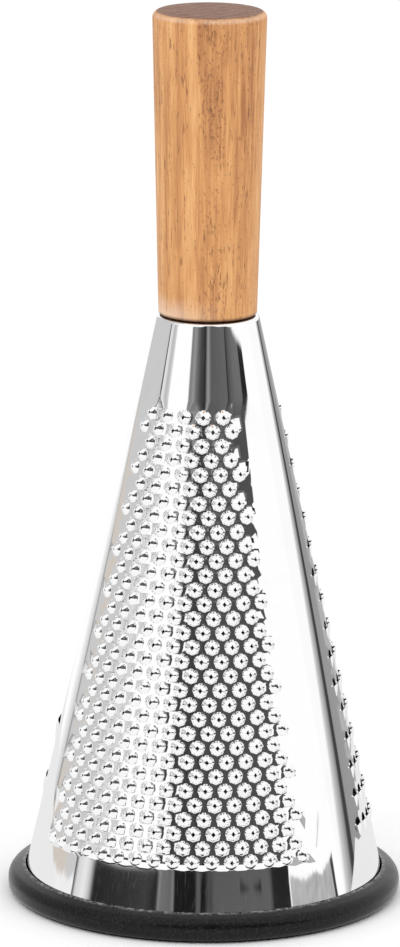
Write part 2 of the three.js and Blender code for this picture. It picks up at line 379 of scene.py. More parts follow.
# darker rim along the right-hand edge, which leans outwards, and white all round the card
def paintDarkCard(drum):
    tree = drum.tree
    atNeck = spread(tree, drum.aboveNeck, *mirrorDrum["neckSoft"])
    atFoot = spread(tree, drum.aboveFoot, *mirrorDrum["footSoft"], 1.0, 0.0)
    edge = spread(tree, drum.height, *darkCard["edgeHeights"], *darkCard["edgeTurns"])
    edge = plus(tree, edge, times(tree, atNeck, darkCard["edgeAtNeck"]))
    pastEdge = minus(tree, drum.turn, edge)
    rim = between(tree, pastEdge, *darkCard["rim"], 0.8)
    drum.paint(times(tree, rim, larger(tree, atFoot, atNeck)), grey(darkCard["rimLevel"]))
    corner = drum.above(drum.line(*darkCard["corner"]), 0.002)
    corner = times(tree, corner, spread(tree, drum.turn, *darkCard["cornerFrom"]))
    rightTop = spread(tree, drum.turn, *darkCard["rightTopTurns"], *darkCard["rightTop"])
    leftTop = spread(tree, drum.turn, *darkCard["leftTopTurns"], *darkCard["leftTop"])
    top = drum.above(sumUp(tree, "MINIMUM", rightTop, leftTop), 0.01)
    under = spread(tree, drum.aboveFoot, *darkCard["underFoot"], 1.0, 0.0)
    under = times(tree, under, spread(tree, drum.turn, *darkCard["underFootFrom"]))
    white = spread(tree, pastEdge, -0.4, 0.4)
    for mask in (corner, top, under):
        white = larger(tree, white, mask)
    drum.paint(white, grey(1.0))


# grey panel with a ragged lower edge, warmer in the middle and along that edge
def paintLeftPanel(drum):
    tree = drum.tree
    lower = plus(tree, drum.line(*leftPanel["lowerEdge"]), drum.ragged)
    aboveLower = drum.above(lower, leftPanel["lowerSoft"])
    warm = between(tree, drum.trueTurn, *leftPanel["warmTurns"], 3.0)
    warm = times(tree, warm, between(tree, drum.height, *leftPanel["warmHeights"], 0.010))
    hem = between(tree, minus(tree, drum.height, lower), *leftPanel["hem"], 0.006)
    hem = times(tree, hem, spread(tree, drum.height, *leftPanel["hemEnds"]))
    panel = mixColour(tree, larger(tree, warm, hem), leftPanel["grey"], leftPanel["beige"])
    panel = mixColour(tree, aboveLower, grey(leftPanel["floorLevel"]), panel)
    drum.paint(spread(tree, drum.turn, *leftPanel["edge"], 1.0, 0.0), panel)
    # it ends in a dark line, and what lies beyond brightens away from it
    farEdge = spread(tree, drum.height, *leftPanel["farHeights"], *leftPanel["farTurns"])
    past = minus(tree, farEdge, drum.trueTurn)
    beyond = spread(tree, past, *leftPanel["brightens"])
    beyond = mixColour(tree, beyond, grey(leftPanel["beyondLevel"]), grey(1.0))
    drum.paint(spread(tree, past, -0.5, 0.5), beyond)
    rule = times(tree, between(tree, past, *leftPanel["rule"], 0.6), aboveLower)
    drum.paint(rule, grey(leftPanel["ruleLevel"]))


# mottled greys by the right side of the foot, and a cloud above them
def paintRightPatch(drum):
    tree = drum.tree
    mottle = noise(tree, stretched(tree, drum.place, (1, 1, 20)), 20.0, 3.0, 0.6)
    greys = spread(tree, mottle, 0.35, 0.65, *rightPatch["greys"])
    cloud = plus(tree, mottle, between(tree, drum.height, *rightPatch["cloudHeights"], 0.004))
    cloud = times(tree, cloud, between(tree, drum.turn, *rightPatch["cloudTurns"], 2.0))
    drum.paint(spread(tree, cloud, 1.30, 1.45, 0.0, 0.8), greys)
    low = plus(tree, minus(tree, drum.line(*rightPatch["topEdge"]), drum.height), drum.ragged)
    low = spread(tree, low, -0.0005, 0.0005)
    low = times(tree, low, between(tree, drum.turn, *rightPatch["turns"], 0.3))
    drum.paint(low, greys)
    rim = times(tree, low, between(tree, drum.turn, *rightPatch["rim"], 0.3))
    drum.paint(rim, grey(rightPatch["rimLevel"]))


# two dark wedges, tip to tip, low in the middle
def paintWedges(drum):
    tree = drum.tree
    aside = sumUp(tree, "ABSOLUTE", minus(tree, drum.trueTurn, wedges["line"][0]))
    off = sumUp(tree, "ABSOLUTE", minus(tree, drum.height, drum.line(*wedges["line"])))
    wedge = spread(tree, minus(tree, times(tree, aside, wedges["opening"]), off), 0.0, 0.0004)
    wedge = times(tree, wedge, spread(tree, aside, *wedges["ends"], 0.9, 0.0))
    drum.paint(wedge, grey(wedges["level"]))


def makeDrumPaint():
    material = bpy.data.materials.new("paintedCards")
    material.use_nodes = True
    tree = material.node_tree
    tree.nodes.clear()
    drum = DrumPaint(tree)
    for paint in (paintBands, paintDarkCard, paintLeftPanel, paintRightPatch, paintWedges):
        paint(drum)
    glow = addNode(tree, "ShaderNodeEmission", Color=drum.colour, Strength=mirrorDrum["brightness"])
    output = addNode(tree, "ShaderNodeOutputMaterial")
    tree.links.new(glow.outputs[0], output.inputs["Surface"])
    return material


# painted shade: the glowing sheets are a little duller on both sides than in front
def makeSheetPaint(name, level):
    material, tree, shader, place = startMaterial(name)
    shader.inputs["Base Color"].default_value = grey(0.0)
    shader.inputs["Specular IOR Level"].default_value = 0.0
    turn = turnFromCamera(tree, addNode(tree, "ShaderNodeSeparateXYZ", Vector=place))
    shade = spread(tree, sumUp(tree, "ABSOLUTE", turn), *mirrorDrum["sheetSideShade"])
    glow = mixColour(tree, shade, grey(0.0), grey(1.0))
    tree.links.new(glow, shader.inputs["Emission Color"])
    shader.inputs["Emission Strength"].default_value = level
    return material


def glossyOnly(card):
    card.visible_camera = False
    card.visible_diffuse = False
    card.visible_shadow = False
    card.visible_transmission = False
    card.visible_volume_scatter = False


def addDrum():
    steps = mirrorDrum["steps"]
    points = []
    for k in range(steps + 1):
        turn = (mirrorDrum["from"] + (mirrorDrum["to"] - mirrorDrum["from"]) * k / steps) * degree
        across = (mirrorDrum["radius"] * math.sin(turn), -mirrorDrum["radius"] * math.cos(turn))
        points += [(*across, mirrorDrum["low"]), (*across, mirrorDrum["high"])]
    faces = [(2 * k, 2 * k + 2, 2 * k + 3, 2 * k + 1) for k in range(steps)]
    mesh = bpy.data.meshes.new("cardDrum")
    mesh.from_pydata(points, [], faces)
    drum = bpy.data.objects.new("cardDrum", mesh)
    scene.collection.objects.link(drum)
    mesh.materials.append(makeDrumPaint())
    glossyOnly(drum)
    # the white sheet ends close behind the grater, and the dark sheet under the cone is painted shade
    for name, radius, z, level in mirrorDrum["sheets"]:
        clearSelection()
        bpy.ops.mesh.primitive_circle_add(vertices=64, radius=radius, location=(0, 0, z), fill_type="NGON")
        sheet = bpy.context.object
        sheet.name = name
        sheet.data.materials.append(makeSheetPaint(name, level))
        glossyOnly(sheet)
    print("cards in place")


# floor and soft lamps
studio = {
    "floorSize": 24.0,
    "floorColour": 0.985,
    "floorRoughness": 0.9,
    "lampAim": (0, 0, 0.12),
    "lampSize": 1.2,
    # name, place and power
    "lamps": [("keyLamp", (-0.9, -1.1, 1.5), 5.0), ("fillLamp", (1.2, -0.7, 0.9), 2.0)],
}


def addStudio():
    clearSelection()
    bpy.ops.mesh.primitive_plane_add(size=studio["floorSize"], location=(0, 0, 0))
    floor = bpy.context.object
    floor.name = "paleFloor"
    material = bpy.data.materials.new("floorWhite")
    material.use_nodes = True
    tree = material.node_tree
    shader = tree.nodes["Principled BSDF"]
    shader.inputs["Base Color"].default_value = grey(studio["floorColour"])
    shader.inputs["Roughness"].default_value = studio["floorRoughness"]
    shader.inputs["Specular IOR Level"].default_value = 0.0
    # clear from below
    clear = addNode(tree, "ShaderNodeBsdfTransparent")
    under = addNode(tree, "ShaderNodeNewGeometry")
    choose = addNode(tree, "ShaderNodeMixShader")
    tree.links.new(under.outputs["Backfacing"], choose.inputs[0])
    tree.links.new(shader.outputs[0], choose.inputs[1])
    tree.links.new(clear.outputs[0], choose.inputs[2])
    tree.links.new(choose.outputs[0], tree.nodes["Material Output"].inputs["Surface"])
    floor.data.materials.append(material)
    floor.visible_glossy = False

    for name, place, power in studio["lamps"]:
        bpy.ops.object.light_add(type="AREA", location=place)
        lamp = bpy.context.object
        lamp.name = name
        lamp.data.shape = "DISK"
        lamp.data.size = studio["lampSize"]
        lamp.data.energy = power
        toGrater = Vector(studio["lampAim"]) - Vector(place)
        lamp.rotation_euler = toGrater.to_track_quat("-Z", "Y").to_euler()
        lamp.visible_glossy = False
        lamp.visible_camera = False
    print("floor and lamps in place")


# shared effects
def startGroup(name, inputs, output):
    group = bpy.data.node_groups.new(name, "ShaderNodeTree")
    group.interface.new_socket("Vector", in_out="INPUT", socket_type="NodeSocketVector")
    for label, default in inputs:
        socket = group.interface.new_socket(label, in_out="INPUT", socket_type="NodeSocketFloat")
        socket.default_value = default
    group.interface.new_socket(output, in_out="OUTPUT", socket_type="NodeSocketFloat")
    given = addNode(group, "NodeGroupInput")
    out = addNode(group, "NodeGroupOutput")
    return group, given.outputs, out.inputs[output]


def makeSmudgeGroup():
    group, given, out = startGroup("handlingSmudges", [("Scale", 60.0), ("Cover", 0.5)], "Mask")
    cloud = addNode(group, "ShaderNodeTexNoise", Vector=given["Vector"], Scale=given["Scale"])
    cloud.inputs["Detail"].default_value = 5.0
    cloud.inputs["Roughness"].default_value = 0.62
    cloud.inputs["Distortion"].default_value = 0.8
    edge = minus(group, 1.0, given["Cover"])
    mask = spread(group, cloud.outputs[0], edge, plus(group, edge, 0.25))
    group.links.new(mask, out)
    return group


def makeFibreGroup():
    group, given, out = startGroup("longFibres", [("Across", 800.0), ("Along", 25.0)], "Value")
    scale = addNode(group, "ShaderNodeCombineXYZ", X=given["Across"], Y=given["Across"], Z=given["Along"])
    product = addNode(group, "ShaderNodeVectorMath", {"operation": "MULTIPLY"})
    group.links.new(given["Vector"], product.inputs[0])
    group.links.new(scale.outputs[0], product.inputs[1])
    group.links.new(noise(group, product.outputs[0], 1.0, 3.0, 0.55), out)
    return group


def useGroup(tree, group, **inputs):
    made = tree.nodes.new("ShaderNodeGroup")
    made.node_tree = group
    for name, value in inputs.items():
        feed(tree, made.inputs[name], value)
    return made.outputs[0]


smudgeGroup = makeSmudgeGroup()
fibreGroup = makeFibreGroup()


def startMaterial(name):
    material = bpy.data.materials.new(name)
    material.use_nodes = True
    tree = material.node_tree
    place = addNode(tree, "ShaderNodeTexCoord")
    return material, tree, tree.nodes["Principled BSDF"], place.outputs["Object"]


def addBump(tree, shader, height, distance, strength=1.0):
    made = tree.nodes.new("ShaderNodeBump")
    made.inputs["Strength"].default_value = strength
    made.inputs["Distance"].default_value = distance
    feed(tree, made.inputs["Height"], height)
    tree.links.new(made.outputs[0], shader.inputs["Normal"])


# finishes
steelFinish = {
    "bright": (0.965, 0.965, 0.968, 1),
    "dull": (0.90, 0.90, 0.905, 1),
    "roughness": (0.022, 0.075),
    "waveScale": 34.0,
    "waveDepth": 0.00006,
}
insideFinish = {
    "bright": (0.62, 0.62, 0.63, 1),
    "dull": (0.50, 0.50, 0.505, 1),
    "roughness": (0.22, 0.40),
    "lineDepth": 0.00003,
}
zincFinish = {
    "bright": (0.66, 0.67, 0.66, 1),
    "dull": (0.55, 0.545, 0.50, 1),
    "roughness": (0.26, 0.42),
    "grainDepth": 0.00002,
}


def makePolishedSteel():
    material, tree, shader, place = startMaterial("polishedSteel")
    smudge = useGroup(tree, smudgeGroup, Vector=place, Scale=55.0, Cover=0.46)
    lines = useGroup(tree, fibreGroup, Vector=place, Across=2600.0, Along=60.0)
    scratch = spread(tree, lines, 0.66, 0.74)
    haze = plus(tree, times(tree, smudge, 0.55), times(tree, scratch, 0.35), True)
    colour = mixColour(tree, haze, steelFinish["bright"], steelFinish["dull"])
    tree.links.new(colour, shader.inputs["Base Color"])
    tree.links.new(spread(tree, haze, 0.0, 1.0, *steelFinish["roughness"]), shader.inputs["Roughness"])
    shader.inputs["Metallic"].default_value = 1.0
    # the rolled sheet is not quite true
    wave = noise(tree, stretched(tree, place, (1, 1, 0.45)), steelFinish["waveScale"], 1.5, 0.4)
    addBump(tree, shader, wave, steelFinish["waveDepth"])
    return material


def makeInsideSteel():
    material, tree, shader, place = startMaterial("insideSteel")
    lines = useGroup(tree, fibreGroup, Vector=place, Across=900.0, Along=40.0)
    smudge = useGroup(tree, smudgeGroup, Vector=place, Scale=38.0, Cover=0.5)
    colour = mixColour(tree, smudge, insideFinish["bright"], insideFinish["dull"])
    tree.links.new(colour, shader.inputs["Base Color"])
    tree.links.new(spread(tree, lines, 0.3, 0.7, *insideFinish["roughness"]), shader.inputs["Roughness"])
    shader.inputs["Metallic"].default_value = 1.0
    addBump(tree, shader, lines, insideFinish["lineDepth"], 0.6)
    return material


def makeZinc():
    material, tree, shader, place = startMaterial("zincPlate")
    smudge = useGroup(tree, smudgeGroup, Vector=place, Scale=160.0, Cover=0.5)
    grain = noise(tree, place, 2400.0, 3.0)
    colour = mixColour(tree, smudge, zincFinish["bright"], zincFinish["dull"])
    tree.links.new(colour, shader.inputs["Base Color"])
    tree.links.new(spread(tree, grain, 0.3, 0.7, *zincFinish["roughness"]), shader.inputs["Roughness"])
    shader.inputs["Metallic"].default_value = 1.0
    addBump(tree, shader, grain, zincFinish["grainDepth"], 0.5)
    return material


woodFinish = {
    "pale": (0.80, 0.440, 0.184, 1),
    "warm": (0.645, 0.306, 0.110, 1),
    "deep": (0.40, 0.160, 0.056, 1),
    "tones": (0.50, 0.63, 0.78),
    "pore": (0.17, 0.060, 0.026, 1),
    "endGrain": (0.235, 0.110, 0.070, 1),
    "endDark": (0.15, 0.066, 0.042, 1),
    # pale tone, for the scratches on the end, the paler foot and the painted highlight at the top edge
    "paleTone": (0.83, 0.60, 0.44, 1),
    # colour of the painted shadow line where the handle meets the steel
    "footShadow": (0.10, 0.040, 0.018, 1),
    "pith": (-34.0 * mm, 46.0 * mm),
    "ringGap": 4.2 * mm,
    # scale across the grain and along it, and weight
    "fibres": [(170.0, 9.0, 0.16), (560.0, 26.0, 0.24), (1250.0, 60.0, 0.30), (2300.0, 110.0, 0.24)],
    "ringWeight": 0.06,
    "bandWeight": 0.25,
    # millimetres from the middle, and how much darker the upper and the lower half are there
    "upper": [
        (-15.5, 0.02), (-12.0, 0.00), (-9.0, 0.02), (-5.5, -0.02), (-4.2, 0.00), (-3.4, 0.070),
        (3.2, 0.070), (4.6, -0.01), (6.5, 0.00), (9.0, 0.020), (12.5, 0.025), (15.5, 0.01),
    ],
    "lower": [
        (-15.5, -0.03), (-11.5, -0.02), (-9.0, 0.00), (-5.0, -0.01), (-2.0, 0.02), (2.5, 0.03),
        (5.5, 0.00), (9.0, 0.015), (13.0, -0.01), (15.5, 0.01),
    ],
    "bandSpan": (-16.0 * mm, 16.0 * mm),
    "halvesMeet": (38.0 * mm, 52.0 * mm),
    "reliefDepth": 0.00012,
}


# broad bands down the grip, which differ above and below its middle
def woodBands(tree, x, height):
    halves = []
    for name in ("lower", "upper"):
        bands = [(offset * mm, 0.5 + 4 * darker) for offset, darker in woodFinish[name]]
        halves.append(bandsAcross(tree, x, *woodFinish["bandSpan"], bands))
    return mixColour(tree, spread(tree, height, *woodFinish["halvesMeet"]), *halves)


def makeHandleWood(footZ, topZ):
    material, tree, shader, place = startMaterial("oiledWood")
    axes = addNode(tree, "ShaderNodeSeparateXYZ", Vector=place)
    x, y, z = (axes.outputs[name] for name in "XYZ")
    aboveFoot = minus(tree, z, footZ)
    # slow wander of the grain
    wander = minus(tree, noise(tree, stretched(tree, place, (1, 1, 0.25)), 45.0), 0.5)
    offsets = [minus(tree, way, pith) for way, pith in zip((x, y), woodFinish["pith"])]
    reach = sumUp(tree, "SQRT", plus(tree, *(sumUp(tree, "POWER", offset, 2.0) for offset in offsets)))
    ringPlace = plus(tree, reach, times(tree, wander, 0.010))
    rings = sumUp(tree, "SINE", times(tree, ringPlace, 2 * math.pi / woodFinish["ringGap"]))
    rings = spread(tree, rings, -1.0, 1.0)
    bandHeight = plus(tree, aboveFoot, times(tree, wander, 0.03))
    band = woodBands(tree, plus(tree, x, times(tree, wander, 0.006)), bandHeight)
    layers = []
    for across, along, weight in woodFinish["fibres"]:
        layers.append((useGroup(tree, fibreGroup, Vector=place, Across=across, Along=along), weight))
    fibre = layers[-1][0]
    layers += [(rings, woodFinish["ringWeight"]), (band, woodFinish["bandWeight"])]
    stops = zip(woodFinish["tones"], (woodFinish[name] for name in ("pale", "warm", "deep")))
    colour = ramp(tree, weighted(tree, layers), list(stops))
    # open pores, dashes down the sides and dots on the end
    dash = useGroup(tree, fibreGroup, Vector=place, Across=1350.0, Along=190.0)
    patch = noise(tree, stretched(tree, place, (1, 1, 0.3)), 130.0)
    edge = minus(tree, 0.715, times(tree, patch, 0.17))
    pores = spread(tree, minus(tree, dash, edge), 0.0, 0.06)
    colour = mixColour(tree, times(tree, pores, 0.62), colour, woodFinish["pore"])
    # fine specks, thickest in the dark band
    dots = noise(tree, stretched(tree, place, (1, 1, 0.55)), 1500.0, 2.0, 0.6)
    thick = spread(tree, plus(tree, band, times(tree, patch, 0.25)), 0.60, 0.86, 0.66, 0.55)
    specks = spread(tree, minus(tree, dots, thick), 0.0, 0.07)
    colour = mixColour(tree, times(tree, specks, 0.5), colour, woodFinish["pore"])
    # cut end, darker because it drinks more oil, with pale scratches
    facing = addNode(tree, "ShaderNodeTexCoord").outputs["Normal"]
    end = addNode(tree, "ShaderNodeSeparateXYZ", Vector=facing).outputs["Z"]
    end = spread(tree, end, 0.80, 0.96)
    grain = weighted(tree, [(rings, 0.35), (fibre, 0.65)])
    grain = spread(tree, grain, 0.25, 0.75)
    endTone = mixColour(tree, grain, woodFinish["endGrain"], woodFinish["endDark"])
    scored = noise(tree, stretched(tree, place, (260, 1500, 1)), 1.0, 2.0, 0.5, 1.2)
    endTone = mixColour(tree, spread(tree, scored, 0.60, 0.68, 0.0, 0.30), endTone, woodFinish["paleTone"])
    colour = mixColour(tree, times(tree, end, 0.94), colour, endTone)
    # painted highlight along the rounded edge at the top
    topEdgeHighlight = between(tree, z, topZ - 1.4 * mm, topZ - 0.4 * mm, 0.4 * mm)
    topEdgeHighlight = times(tree, topEdgeHighlight, spread(tree, patch, 0.35, 0.60, 0.1, 0.42))
    colour = mixColour(tree, topEdgeHighlight, colour, woodFinish["paleTone"])
    # paler near the foot on the left, and a painted shadow line where the handle meets the steel
    frayed = times(tree, noise(tree, place, 420.0, 3.0), 4.0 * mm)
    paleTone = spread(tree, minus(tree, aboveFoot, frayed), 4.5 * mm, -0.5 * mm)
    paleTone = times(tree, paleTone, spread(tree, x, 4.0 * mm, -12.0 * mm))
    colour = mixColour(tree, times(tree, paleTone, 0.75), colour, woodFinish["paleTone"])
    # painted shadow: a dark line round the foot, where the handle meets the steel
    foot = spread(tree, aboveFoot, 1.1 * mm, 0.3 * mm)
    colour = mixColour(tree, times(tree, foot, 0.85), colour, woodFinish["footShadow"])
    tree.links.new(colour, shader.inputs["Base Color"])
    rough = plus(tree, spread(tree, fibre, 0.3, 0.7, 0.40, 0.54), times(tree, pores, 0.2))
    tree.links.new(rough, shader.inputs["Roughness"])
    tree.links.new(spread(tree, end, 0.0, 1.0, 0.35, 0.14), shader.inputs["Specular IOR Level"])
    addBump(tree, shader, minus(tree, times(tree, fibre, 0.35), pores), woodFinish["reliefDepth"], 0.7)
    return material


rubberFinish = {
    "black": (0.0018, 0.0018, 0.002, 1),
    "dusty": (0.026, 0.026, 0.026, 1),
    # pale grey of the painted highlight along the lip, and how far below the lip's top it lies
    "lipHighlightColour": (0.36, 0.36, 0.35, 1),
    "lipHighlightDepth": (0.5 * mm, 0.1 * mm),
    "roughness": (0.26, 0.36),
    "grainDepth": 0.00010,
}


def makeRubber(lipZ):
    material, tree, shader, place = startMaterial("satinRubber")
    smudge = useGroup(tree, smudgeGroup, Vector=place, Scale=70.0, Cover=0.5)
    speck = spread(tree, noise(tree, place, 1500.0, 3.0, 0.65), 0.48, 0.70)
    speckles = plus(tree, times(tree, smudge, 0.12), times(tree, speck, 0.7), True)
    colour = mixColour(tree, speckles, rubberFinish["black"], rubberFinish["dusty"])
    # painted highlight along the lip, broken into pale specks
    z = addNode(tree, "ShaderNodeSeparateXYZ", Vector=place).outputs["Z"]
    lip = spread(tree, z, *(lipZ - depth for depth in rubberFinish["lipHighlightDepth"]))
    lipHighlightSpecks = spread(tree, noise(tree, place, 700.0, 3.0, 0.7), 0.42, 0.62, 0.0, 0.8)
    colour = mixColour(tree, times(tree, lipHighlightSpecks, lip), colour, rubberFinish["lipHighlightColour"])
    tree.links.new(colour, shader.inputs["Base Color"])
    tree.links.new(spread(tree, smudge, 0.0, 1.0, *rubberFinish["roughness"]), shader.inputs["Roughness"])
    shader.inputs["Specular IOR Level"].default_value = 0.22
    addBump(tree, shader, noise(tree, place, 1800.0, 3.0, 0.6), rubberFinish["grainDepth"], 0.5)
    return material


# pieces turned about the upright axis: a circle, extruded ring by ring along an outline
def turnPiece(name, outline, steps, closed=False):
    clearSelection()
    radius, z = outline[0]
    bpy.ops.mesh.primitive_circle_add(vertices=steps, radius=radius, location=(0, 0, z))
    piece = bpy.context.object
    piece.name = name
    piece.data.name = name
    bpy.ops.object.transform_apply(location=True, rotation=True, scale=True)
    bpy.ops.object.mode_set(mode="EDIT")
    bpy.ops.mesh.select_mode(type="EDGE")
    bpy.ops.mesh.select_all(action="SELECT")
    for nextRadius, nextZ in outline[1:]:
        bpy.ops.mesh.extrude_edges_move(TRANSFORM_OT_translate={"value": (0, 0, nextZ - z)})
        factor = nextRadius / radius
        bpy.ops.transform.resize(value=(factor, factor, 1), center_override=(0, 0, nextZ))
        radius, z = nextRadius, nextZ
    if not closed:
        bpy.ops.mesh.merge(type="CENTER")
    bpy.ops.mesh.select_all(action="SELECT")
    bpy.ops.mesh.remove_doubles(threshold=1e-6)
    if not closed:
        closeOpenEnd()
    bpy.ops.mesh.select_all(action="SELECT")
    bpy.ops.mesh.normals_make_consistent(inside=False)
    bpy.ops.object.mode_set(mode="OBJECT")
    bpy.ops.object.shade_smooth_by_angle(angle=40 * degree)
    return piece


def closeOpenEnd():
    bpy.ops.mesh.select_all(action="DESELECT")
    bpy.ops.mesh.select_mode(type="EDGE")
    bpy.ops.mesh.select_non_manifold(extend=False)
    bpy.ops.mesh.edge_face_add()
    bpy.ops.mesh.poke()


def arcPoints(centre, radius, start, end, steps):
    turns = [(start + (end - start) * k / steps) * degree for k in range(steps + 1)]
    return [(centre[0] + radius * math.cos(t), centre[1] + radius * math.sin(t)) for t in turns]


# rolled and punched cone
coneLow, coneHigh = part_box("grater_cone")
coneSheet = {
    "footRadius": coneHigh.x,
    "topRadius": 14.2 * mm,
    "footZ": coneLow.z,
    "topZ": coneHigh.z,
    "wall": 0.6 * mm,
    "toothWall": 0.36 * mm,
    "shoulderRound": 1.2 * mm,
    "shoulderSteps": 8,
    "flangeHole": 4.5 * mm,
    "roundSteps": 120,
    "slantStep": 4.0 * mm,
    "seam": 165.7,
    # points between the punched shapes keep this far from them, and no shape reaches further than these
    "clearOfShapes": 0.9 * mm,
    "shapeReach": (16.0 * mm, 8.0 * mm),
}
fineZone = {
    "centre": -10.6, "topMargin": 25.75 * mm, "bottomMargin": 18.5 * mm, "rowPitch": 3.943 * mm,
    "toothPitch": 5.435 * mm, "left": (47.9, 54.4), "right": (31.9, 47.8), "oddFirst": False,
}
coarseZone = {
    "centre": 97.5, "topMargin": 27.5 * mm, "bottomMargin": 21.0 * mm, "rowPitch": 7.84 * mm,
    "toothPitch": 5.12 * mm, "left": (8.85, 28.8), "right": (31.5, 51.5), "oddFirst": True,
}
slicerZone = {
    "centre": -134.3, "topMargin": 37.2 * mm, "bottomMargin": 28.8 * mm, "rowPitch": 16.7 * mm,
    "halfAngle": 48.0, "bladeWidth": 30.0 * mm, "bladeGap": 6.0 * mm,
}
# punched shapes are in millimetres and degrees
fineTooth = {
    # radius, height, lean below and above, and squareness, of the rings from the foot to the hole
    "rings": [
        (2.165, 0.0, 0, 0, 0.0), (2.04, 0.15, 50, 58, 0.0), (1.78, 0.45, 42, 46, 0.1),
        (1.25, 0.87, 35, 40, 0.4), (0.76, 1.19, 31, 36, 1.0),
    ],
    "turns": (0, 25, 50, 60, 70, 80, 100, 110, 120, 130, 155, 180, 225, 270, 315),
    # the press leaves two notches in the upper half, shallow at the foot
    "notches": (60, 70, 110, 120),
    "notchLeans": (0, 12, 22, 38, 36),
    "notchDepth": 0.12,
    # how far the sheet beside a tooth and above it leans away from it
    "dishAside": 8.0,
    "dishAbove": 4.0,
    "holeNarrowing": 0.8,
}
# taper, fall, crown, mouthSides and mouthTop are powers, which round a shape or square it
scoopTooth = {
    "halfWidth": 1.6, "length": 3.4, "mouth": 2.2, "rise": 1.0, "lean": 0.25, "across": 8, "down": 5,
    "taper": 0.7, "fall": 1.1, "crown": 0.75, "mouthSides": 1.0, "mouthTop": 1.0,
    # how far the press leaves the sheet round a scoop leaning up
    "sheetLean": 2.8,
}
blade = {
    "halfWidth": 15.0, "length": 6.0, "mouth": 2.0, "rise": 1.1, "lean": 0.3, "across": 24, "down": 5,
    "footNarrowing": 0.16, "fall": 1.6, "crown": 5, "mouthSides": 0.6, "mouthTop": 0.25,
}

coneRise = coneSheet["topZ"] - coneSheet["footZ"]
slope = math.atan((coneSheet["footRadius"] - coneSheet["topRadius"]) / coneRise)
sinSlope, cosSlope = math.sin(slope), math.cos(slope)
apexZ = coneSheet["footZ"] + coneSheet["footRadius"] / math.tan(slope)
topSlant = coneSheet["topRadius"] / sinSlope
footSlant = coneSheet["footRadius"] / sinSlope


def rowSlants(zone):
    first = topSlant + zone["topMargin"]
    last = footSlant - zone["bottomMargin"]
    rows = math.floor((last - first) / zone["rowPitch"]) + 1
    return [first + row * zone["rowPitch"] for row in range(rows)]


def zoneSpots(zone):
    slants = rowSlants(zone)
    spots = []
    for row, slant in enumerate(slants):
        shift = 0.0 if (row % 2 == 0) == zone["oddFirst"] else 0.5
        reach = {}
        for side in ("left", "right"):
            top, foot = (r * sinSlope * a * degree for r, a in zip((slants[0], slants[-1]), zone[side]))
            room = top + (foot - top) * row / (len(slants) - 1)
            reach[side] = math.floor(room / zone["toothPitch"] - shift) + shift
        for k in range(round(reach["left"] + reach["right"]) + 1):
            turn = (k - reach["left"]) * zone["toothPitch"] / (slant * sinSlope)
            spots.append((slant, zone["centre"] * degree + turn))
    return spots


def bladeSpots():
    zone = slicerZone
    step = zone["bladeWidth"] + zone["bladeGap"]
    spots = []
    for slant in rowSlants(zone):
        radius = slant * sinSlope
        room = 2 * radius * zone["halfAngle"] * degree
        count = max(1, math.floor((room + zone["bladeGap"]) / step))
        for k in range(count):
            spots.append((slant, zone["centre"] * degree + (k - (count - 1) / 2) * step / radius))
    return spots


# each punched shape is laid flat, x round the cone, y up it and z outwards
def fineToothPatch():
    turns = fineTooth["turns"]
    steps = len(turns)
    rings = fineTooth["rings"]
    points, normals = [], []
    for (radius, height, leanBelow, leanAbove, square), notchLean in zip(rings, fineTooth["notchLeans"]):
        narrow = 1 - (1 - fineTooth["holeNarrowing"]) * square ** 2
        for turn in turns:
            sine, cosine = math.sin(turn * degree), math.cos(turn * degree)
            reach = radius * (1 - square + square / (abs(sine) + abs(cosine)))
            lean = leanBelow + (leanAbove - leanBelow) * min(1.0, 1.0 + sine)
            if height == 0:
                lean = fineTooth["dishAside"] * cosine ** 2 + fineTooth["dishAbove"] * max(0.0, sine)
            elif turn in fineTooth["notches"]:
                reach -= fineTooth["notchDepth"] * (1 - square)
                lean = notchLean
            points.append((narrow * reach * cosine, reach * sine, height))
            normals.append(leaning(turn * degree, lean))
    faces = []
    for ring in range(len(rings) - 1):
        for k in range(steps):
            a, b = ring * steps + k, ring * steps + (k + 1) % steps
            faces.append((a, b, b + steps, a + steps))
    return points, faces, list(range(steps)), np.array(normals)


def leaning(turn, lean):
    flat = math.sin(lean * degree)
    return (flat * math.cos(turn), flat * math.sin(turn), math.cos(lean * degree))


def rowFaces(rows, across):
    faces = []
    for row in range(rows):
        for k in range(across):
            a = row * (across + 1) + k
            faces.append((a + across + 1, a + across + 2, a + 1, a))
    return faces


def scoopPatch():
    across, down = scoopTooth["across"], scoopTooth["down"]
    points, left, right = [], [], []
    for row in range(down):
        share = row / down
        halfWidth = scoopTooth["halfWidth"] * (1 - share) ** scoopTooth["taper"]
        rise = scoopTooth["rise"] * (1 - share) ** scoopTooth["fall"]
        left.append(len(points))
        for k in range(across + 1):
            u = 2 * k / across - 1
            bulge = (1 - u * u) ** scoopTooth["crown"]
            lean = scoopTooth["lean"] * bulge * (1 - share) ** 2
            points.append((u * halfWidth, lean - scoopTooth["length"] * share, rise * bulge))
        right.append(len(points) - 1)
    tail = len(points)
    points.append((0.0, -scoopTooth["length"], 0.0))
    faces = rowFaces(down - 1, across)
    faces += [(tail, left[-1] + k + 1, left[-1] + k) for k in range(across)]
    outline = mouthOutline(points, left, [tail], right, scoopTooth)
    normals = patchNormals(points, faces, outline)
    normals[outline] = leaning(math.pi / 2, scoopTooth["sheetLean"])
    return points, faces, outline, normals


